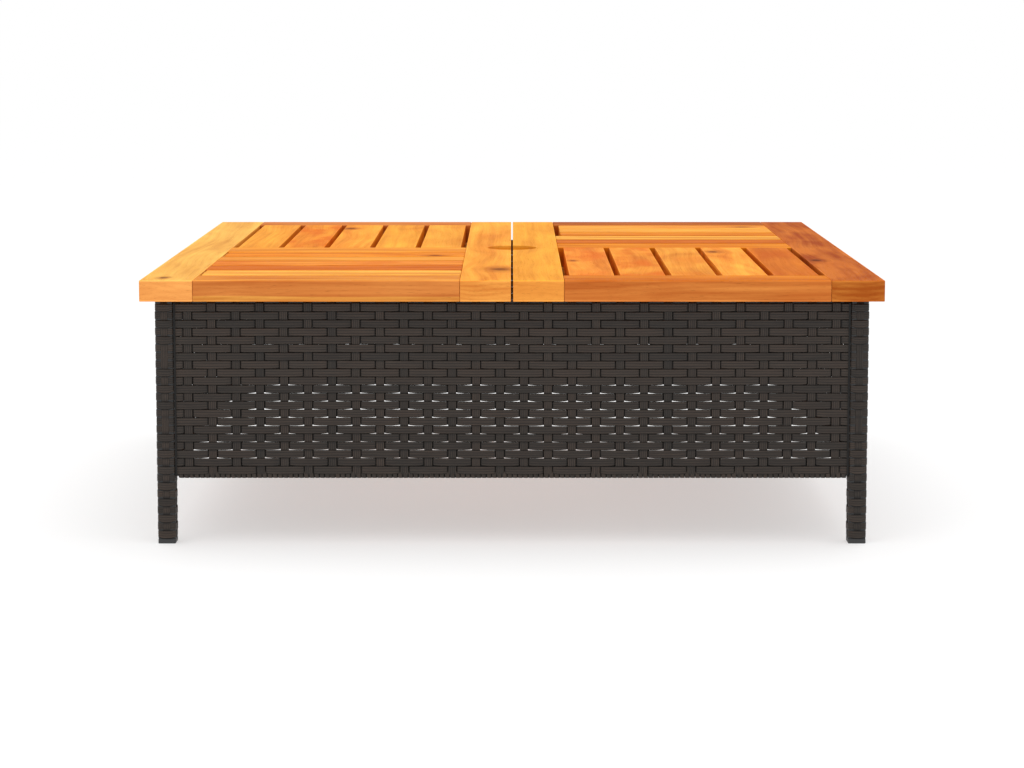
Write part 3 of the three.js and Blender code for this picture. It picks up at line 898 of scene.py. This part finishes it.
def ringShape(half, radius):
    # A square ring with round corners: points, outward normals, how near each is to the middle of its side,
    # and the number of its side.
    sides, corners = legWrap["stepsPerSide"], legWrap["stepsPerCorner"]
    flat = half - radius
    points, normals, middles, sideIndex = [], [], [], []
    for k in range(4):
        angle = k * math.pi / 2
        c, s = math.cos(angle), math.sin(angle)
        t = np.linspace(-flat, flat, sides)
        face = np.stack([np.full(sides, half), t], 1)
        turn = np.linspace(0, math.pi / 2, corners + 2)[1:-1]
        arc = np.stack([flat + radius * np.cos(turn), flat + radius * np.sin(turn)], 1)
        flatNormals = np.stack([np.ones(sides), np.zeros(sides)], 1)
        arcNormals = np.stack([np.cos(turn), np.sin(turn)], 1)
        matrix = np.array([[c, -s], [s, c]])
        points.append(np.concatenate([face, arc]) @ matrix.T)
        normals.append(np.concatenate([flatNormals, arcNormals]) @ matrix.T)
        middles.append(np.concatenate([np.cos(t / flat * math.pi / 2), np.zeros(corners)]))
        sideIndex.append(np.full(sides + corners, k))
    return [np.concatenate(a) for a in (points, normals, middles, sideIndex)]


def legStrands(center, half, low, high):
    # rings of strand round a leg, each a row of the weave, over or under an upright strip on each face
    rows = int((weave["firstRow"] - low) / weave["rowPitch"]) + 1
    row = np.arange(rows)
    reach = half - weave["weaverThickness"] / 2 - legWrap["cornerDepth"]
    points, normals, middles, sideIndex = ringShape(reach, legWrap["cornerRadius"])
    parity = np.where((row[:, None] + sideIndex[None]) % 2 == 1, 1.0, -1.0)
    outwards = (points * np.sign(center)[None]).max(1) > reach * 0.999
    floats = np.isin(row, legWrap["longFloats"])
    facesFront = sideIndex % 2 == 1
    parity = np.where(floats[:, None] & (outwards & facesFront)[None], -1.0, parity)
    over = parity * middles[None]
    offset = np.where(over > 0, over * legWrap["overSwing"], over * legWrap["underSwing"])
    error = random.normal(0, legWrap["heightSpread"], (rows, 1))
    paths = np.empty((rows, len(points), 3))
    paths[..., :2] = points[None] + normals[None] * offset[..., None] + np.array(center)
    pinch = legWrap["ringPinch"] * (1 - smooth(over, -0.1, 0.5))
    paths[..., 2] = weave["firstRow"] - row[:, None] * weave["rowPitch"] + error + pinch / 2
    outAxes = np.concatenate([normals, np.zeros((len(points), 1))], 1)
    outAxes = np.broadcast_to(outAxes, paths.shape)
    widths = legWrap["ringWidth"] - pinch / weave["weaverWidth"]
    widths = widths + random.normal(0, legWrap["widthSpread"], (rows, 1))
    acrossAxes = fixedAxes((0, 0, -1), rows, len(points))
    rings = sweepStrands(paths, acrossAxes, outAxes, widths, ringSection, closed=True)

    steps = rows * weave["stepsPerRow"] + 1
    z = np.linspace(low, high, steps)
    rowNumber = (weave["firstRow"] - z) / weave["rowPitch"]
    strips = np.arange(4)
    angle = strips * math.pi / 2
    out = np.stack([np.cos(angle), np.sin(angle), np.zeros(4)], 1).round()
    across = np.stack([-np.sin(angle), np.cos(angle), np.zeros(4)], 1).round()
    visible = np.cos(math.pi * (rowNumber[None] + strips[:, None]))
    faceOut = reach + legWrap["stripOut"] + visible * legWrap["stripSwing"]
    stripPaths = out[:, None] * faceOut[..., None] + np.array([*center, 0])
    stripPaths[..., 2] = z
    outAxes = np.broadcast_to(out[:, None], stripPaths.shape)
    acrossAxes = np.broadcast_to(across[:, None], stripPaths.shape)
    section = strandSection(legWrap["stripWidth"], weave["stakeThickness"], 4, 0.00035)
    facesOut = out[:, :2] @ np.sign(center) > 0
    floating = np.isin(np.rint(rowNumber), legWrap["longFloats"])[None] & facesOut[:, None]
    # painted shade where the strip runs behind the rings, none on the long floats where it shows
    hidden = np.where(floating, 0.0, 1 - smooth(visible, 0.1, 0.6))
    ones = np.ones(visible.shape)
    return rings, sweepStrands(stripPaths, acrossAxes, outAxes, ones, section, hidden=hidden)


def buildLegWrap(corner):
    low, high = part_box(f"leg_wrap_{corner}")
    half = (high.x - low.x - legWrap["innerGap"]) / 2
    reach = max(abs(low.x), abs(high.x)) - half
    center = np.copysign([reach, reach], [low.x, low.y])
    parts = legStrands(center, half, low.z, high.z + legWrap["stripRise"])
    name = camel(corner) + "LegWrap"
    addObject(name, strandMesh(name, parts, polyRattan), "base", "poly_rattan", f"leg_wrap_{corner}")


legPlaces = [f"{depth}_{side}" for depth in ("front", "back") for side in ("left", "right")]
for corner in legPlaces:
    buildLegWrap(corner)
print("legs wrapped")


def makeSpeckleGroup():
    # fine grain of a sprayed or moulded surface: small bumps, with slow patches in tone and gloss
    tree, n, given, out = newGroup(
        "fineSpeckle",
        {
            "Place": ("NodeSocketVector", (0, 0, 0)),
            "Pale": ("NodeSocketColor", (0.1, 0.1, 0.1, 1)),
            "Deep": ("NodeSocketColor", (0.02, 0.02, 0.02, 1)),
            "Grain Scale": ("NodeSocketFloat", 900.0),
            "Gloss Low": ("NodeSocketFloat", 0.35),
            "Gloss High": ("NodeSocketFloat", 0.55),
        },
        {"Color": "NodeSocketColor", "Roughness": "NodeSocketFloat", "Height": "NodeSocketFloat"},
    )
    grain = n.noise(given["Place"], given["Grain Scale"], 2.0)
    patch = n.noise(given["Place"], 14.0, 3.0)
    mixed = n.math("ADD", n.math("MULTIPLY", grain, 0.5), n.math("MULTIPLY", patch, 0.5))
    link(n, n.mix(mixed, given["Deep"], given["Pale"]), out["Color"])
    link(n, n.remap(patch, 0.3, 0.7, given["Gloss Low"], given["Gloss High"]), out["Roughness"])
    link(n, grain, out["Height"])
    return tree


fineSpeckle = makeSpeckleGroup()


def speckledMaterial(name, look):
    material, n, shader = newMaterial(name)
    surface = n.add("ShaderNodeGroup", node_tree=fineSpeckle)
    link(n, n.add("ShaderNodeTexCoord").outputs["Object"], surface.inputs["Place"])
    surface.inputs["Pale"].default_value = linear(look["pale"])
    surface.inputs["Deep"].default_value = linear(look["deep"])
    surface.inputs["Grain Scale"].default_value = look["grainScale"]
    surface.inputs["Gloss Low"].default_value, surface.inputs["Gloss High"].default_value = look["gloss"]
    link(n, surface.outputs["Color"], shader.inputs["Base Color"])
    link(n, surface.outputs["Roughness"], shader.inputs["Roughness"])
    addRelief(n, surface.outputs["Height"], shader, look["relief"], 0.0001)
    shader.inputs["Metallic"].default_value = look["metallic"]
    return material


finishes = {
    "powderCoat": {
        "pale": "1e1e1f",
        "deep": "0f0f10",
        "grainScale": 1400.0,
        "gloss": (0.38, 0.52),
        "relief": 0.5,
        "metallic": 0.0,
    },
    "footPlastic": {
        "pale": "353536",
        "deep": "232324",
        "grainScale": 2200.0,
        "gloss": (0.45, 0.6),
        "relief": 0.3,
        "metallic": 0.0,
    },
    "zincScrew": {
        "pale": "b9b4a2",
        "deep": "8b8778",
        "grainScale": 500.0,
        "gloss": (0.25, 0.4),
        "relief": 0.2,
        "metallic": 1.0,
    },
}
powderCoat, footPlastic, zincScrew = (speckledMaterial(name, look) for name, look in finishes.items())

tubeShape = {"wall": 0.0015, "cornerRadius": 0.0025, "innerRadius": 0.0015, "cornerSteps": 4}


def roundedSquare(half, radius, steps):
    # a square outline with round corners, anticlockwise: one corner's arc and its quarter turns
    turn = np.linspace(0, math.pi / 2, steps)
    arc = np.stack([np.cos(turn), np.sin(turn)], 1) * radius + (half - radius)
    quarter = np.array([[0, 1], [-1, 0]])
    return np.concatenate([arc @ np.linalg.matrix_power(quarter, k) for k in range(4)])


def loftQuads(here, after):
    # quads between rings of point numbers and the rings after them, with each ring along the last axis
    quads = np.stack([here, np.roll(here, -1, -1), np.roll(after, -1, -1), after], -1)
    return quads.reshape(-1, 4).tolist()


def buildTube(node, name):
    # a square tube with round corners: outer and inner outline carried between its ends and joined by rims
    low, high = (np.array(corner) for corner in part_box(node))
    axis = int(np.argmax(high - low))
    first, second = (axis + 1) % 3, (axis + 2) % 3
    half = (high[first] - low[first]) / 2
    outer = roundedSquare(half, tubeShape["cornerRadius"], tubeShape["cornerSteps"])
    inner = roundedSquare(half - tubeShape["wall"], tubeShape["innerRadius"], tubeShape["cornerSteps"])
    middle = (low + high) / 2
    loops = []
    for outline, end in ((outer, low), (outer, high), (inner, high), (inner, low)):
        loop = np.empty((len(outline), 3))
        loop[:, first], loop[:, second] = outline[:, 0] + middle[first], outline[:, 1] + middle[second]
        loop[:, axis] = end[axis]
        loops.append(loop)
    index = np.arange(4 * len(outer)).reshape(4, -1)
    quads = loftQuads(index, np.roll(index, -1, 0))
    mesh = solidMesh(name, np.concatenate(loops), quads, powderCoat)
    tube = addObject(name, mesh, "base", "powder_coated_steel", node)
    tube.modifiers.new("flatFaces", "WEIGHTED_NORMAL")


tubeNodes = []
for level in ("top", "bottom"):
    tubeNodes += [f"{level}_rail_{side}" for side in ("front", "back", "left", "right")]
tubeNodes += ["centre_bar_left", "centre_bar_right", *(f"leg_tube_{corner}" for corner in legPlaces)]
for node in tubeNodes:
    buildTube(node, camel(node))

footShape = {
    "height": 0.007,
    "radius": 0.0012,
    "edge": 0.0008,  # how far the sole's and shoulder's edges are cut in
    "cornerSteps": 5,
    "plugGap": 0.0003,
}


def buildFoot(corner):
    # a foot as a stack of rounded squares, from the sole up to the shoulder, and on up its plug in the tube
    node = f"foot_{corner}"
    low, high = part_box(node)
    middle = ((low.x + high.x) / 2, (low.y + high.y) / 2)
    half = (high.x - low.x) / 2
    shoulder, edge = footShape["height"], footShape["edge"]
    plug = half - tubeShape["wall"] - footShape["plugGap"]
    levels = [(half - edge, 0), (half - edge * 0.3, edge * 0.3), (half, edge), (half, shoulder - edge)]
    levels += [(half - edge * 0.3, shoulder - edge * 0.3), (half - edge, shoulder), (plug, shoulder)]
    levels += [(plug, high.z - edge), (plug - edge, high.z)]
    count = 4 * footShape["cornerSteps"]
    loops = []
    for width, height in levels:
        outline = roundedSquare(width, footShape["radius"], footShape["cornerSteps"]) + middle
        loops.append(np.column_stack([outline, np.full(count, height)]))
    index = np.arange(len(levels) * count).reshape(-1, count)
    ends = [index[0, ::-1].tolist(), index[-1].tolist()]
    quads = loftQuads(index[:-1], index[1:])
    mesh = solidMesh(camel(node), np.concatenate(loops), quads + ends, footPlastic)
    foot = addObject(camel(node), mesh, "base", "foot_plastic", node)
    foot.modifiers.new("flatFaces", "WEIGHTED_NORMAL")


for corner in legPlaces:
    buildFoot(corner)
print("frame and feet built")

screw = {
    "headRadius": 0.0042,
    "headHeight": 0.0022,
    "sides": 16,
    "rimRadius": 0.0016,  # of the dish in the middle
    "recessRadius": 0.0008,
    "recess": 0.0011,  # height that is left at the bottom of the dish
}


def screwHeads(places, z):
    # Round heads under a batten, dished in the middle. Each is a dome: the head's radius times the cosine,
    # and its height times the sine, of a quarter turn.
    turn = np.linspace(0, math.pi / 2, 5)
    radii = [*(screw["headRadius"] * np.cos(turn[:-1])), screw["rimRadius"], screw["recessRadius"]]
    drops = [*(screw["headHeight"] * np.sin(turn[:-1])), screw["headHeight"], screw["recess"]]
    angle = np.linspace(0, 2 * math.pi, screw["sides"], endpoint=False)
    profile = np.empty((len(radii), screw["sides"], 3))
    profile[..., 0] = np.outer(radii, np.cos(angle))
    profile[..., 1] = np.outer(radii, -np.sin(angle))
    profile[..., 2] = -np.array(drops)[:, None]
    heads = profile[None] + np.array([(x, y, z) for x, y in places])[:, None, None]
    index = np.arange(heads[..., 0].size).reshape(heads.shape[:3])
    caps = [*index[:, -1].tolist(), *index[:, 0, ::-1].tolist()]
    return heads.reshape(-1, 3), loftQuads(index[:, :-1], index[:, 1:]) + caps


def buildScrews(side):
    # one screw through each batten into each short slat
    places = []
    for place in ("middle", "end"):
        low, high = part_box(f"{side}_batten_{place}")
        for number in range(1, 6):
            slatLow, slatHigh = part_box(f"{side}_short_slat_{number}")
            places.append(((slatLow.x + slatHigh.x) / 2, (low.y + high.y) / 2))
    points, faces = screwHeads(places, low.z)
    mesh = solidMesh(f"{side}BattenScrews", points, faces, zincScrew)
    addObject(f"{side}BattenScrews", mesh, f"top_{side}", "powder_coated_steel")


for side in ("left", "right"):
    buildScrews(side)
print("screws set")

bpy.context.view_layer.update()
